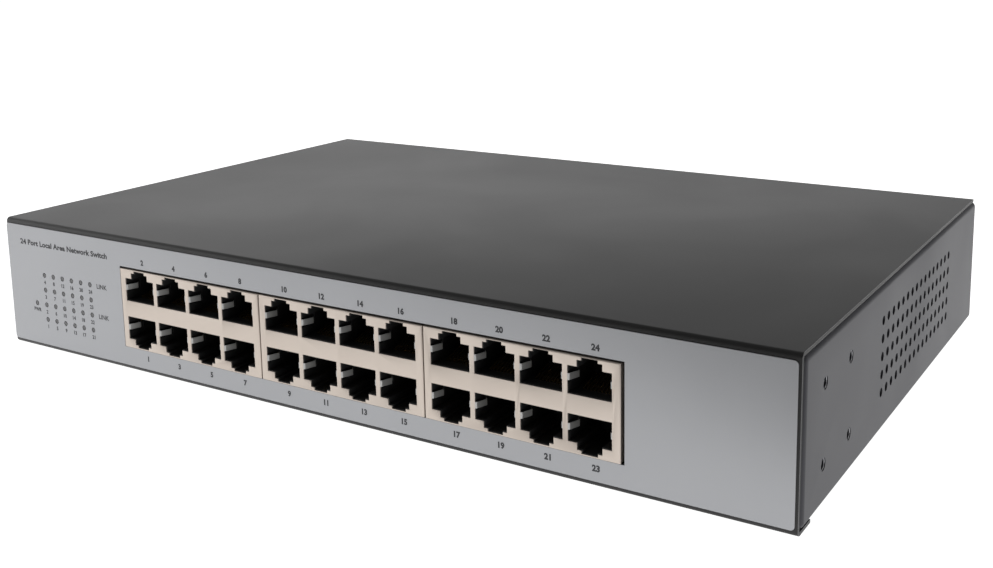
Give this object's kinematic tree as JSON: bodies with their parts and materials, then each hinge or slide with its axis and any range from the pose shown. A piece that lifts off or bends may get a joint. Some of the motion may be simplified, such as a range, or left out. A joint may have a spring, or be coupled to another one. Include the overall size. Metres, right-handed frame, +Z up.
{
  "type": "network switch",
  "caption": "Low rectangular steel case with rows of network sockets, indicator lights, side vents, rear mains inlet and a cover that slides off forward.",
  "frame": {"origin": "middle of the underside, at the height of the lowest edge", "axes": "+X to the right along the front panel, +Y from the front panel to the back, +Z up"},
  "size_m": [0.28, 0.183, 0.044],
  "materials": {
    "cover_paint": "satin black powder coat, fine texture",
    "tray_paint": "satin dark grey powder coat, fine texture",
    "silver_film": "printed silver-grey film, fine satin",
    "nickel_shield": "warm nickel plate, soft sheen",
    "spring_metal": "tinned spring leaf",
    "contact_gold": "gold flash on bronze wire",
    "socket_plastic": "black glass-filled nylon",
    "smoked_light": "unlit smoked light pipe",
    "board_green": "green solder mask",
    "board_tan": "tan laminate",
    "zinc_steel": "zinc plate",
    "black_screw": "black oxide",
    "chip_black": "moulded epoxy",
    "sink_aluminium": "extruded aluminium",
    "can_sleeve": "dark shrink sleeve with a bare top",
    "crystal_can": "nickel-plated can",
    "ferrite": "sintered ferrite",
    "winding_tape": "yellow tape",
    "enamelled_copper": "enamelled copper wire",
    "yellow_case": "yellow moulded case",
    "fuse_case": "black moulded case",
    "inlet_plastic": "black moulded plastic",
    "blade_metal": "nickel-plated brass",
    "clear_film": "milky insulating film",
    "wire_black": "wire insulation",
    "wire_green": "wire insulation, green with a yellow stripe",
    "wire_red": "wire insulation",
    "white_nylon": "natural nylon"
  },
  "bodies": {
    "chassis": {"base_tray": "tray_paint", "bulk_capacitor": "can_sleeve", "chip_heat_sink": "sink_aluminium", "choke_core": "ferrite", "choke_windings": "enamelled_copper", "clock_crystal": "crystal_can", "cover_screws": "black_screw", "earth_lead": "wire_green", "earth_nut": "zinc_steel", "earth_screw": "zinc_steel", "earth_washer": "zinc_steel", "filter_capacitors": "can_sleeve", "heat_plate": "sink_aluminium", "inlet_blades": "blade_metal", "inlet_nuts": "zinc_steel", "inlet_screws": "black_screw", "insulating_sheet": "clear_film", "light_holder": "socket_plastic", "line_capacitor": "yellow_case", "line_transformers": "chip_black", "main_board": "board_green", "main_board_header": "socket_plastic", "main_board_posts": "zinc_steel", "main_board_screws": "zinc_steel", "mains_fuse": "fuse_case", "mains_header": "socket_plastic", "mains_inlet": "inlet_plastic", "mains_leads": "wire_black", "output_capacitors": "can_sleeve", "port_contacts_1": "contact_gold", "port_contacts_2": "contact_gold", "port_contacts_3": "contact_gold", "port_housing_1": "socket_plastic", "port_housing_2": "socket_plastic", "port_housing_3": "socket_plastic", "port_inserts_1": "socket_plastic", "port_inserts_2": "socket_plastic", "port_inserts_3": "socket_plastic", "port_lights": "smoked_light", "port_shield_1": "nickel_shield", "port_shield_2": "nickel_shield", "port_shield_3": "nickel_shield", "port_side_springs_1": "spring_metal", "port_side_springs_2": "spring_metal", "port_side_springs_3": "spring_metal", "power_board": "board_tan", "power_board_header": "socket_plastic", "power_board_posts": "zinc_steel", "power_board_screws": "zinc_steel", "power_inductor": "chip_black", "power_light": "smoked_light", "power_transistor": "chip_black", "signal_cable": "wire_red", "signal_plugs": "white_nylon", "switch_chip": "chip_black", "transformer_core": "ferrite", "transformer_winding": "winding_tape", "voltage_regulator": "chip_black"},
    "cover": {"top_cover": "cover_paint", "front_film": "silver_film"}
  },
  "joints": [
    {"name": "cover_slide", "type": "slide", "parent": "chassis", "child": "cover", "axis": [0, -1, 0], "range_m": [0, 0.19]}
  ]
}
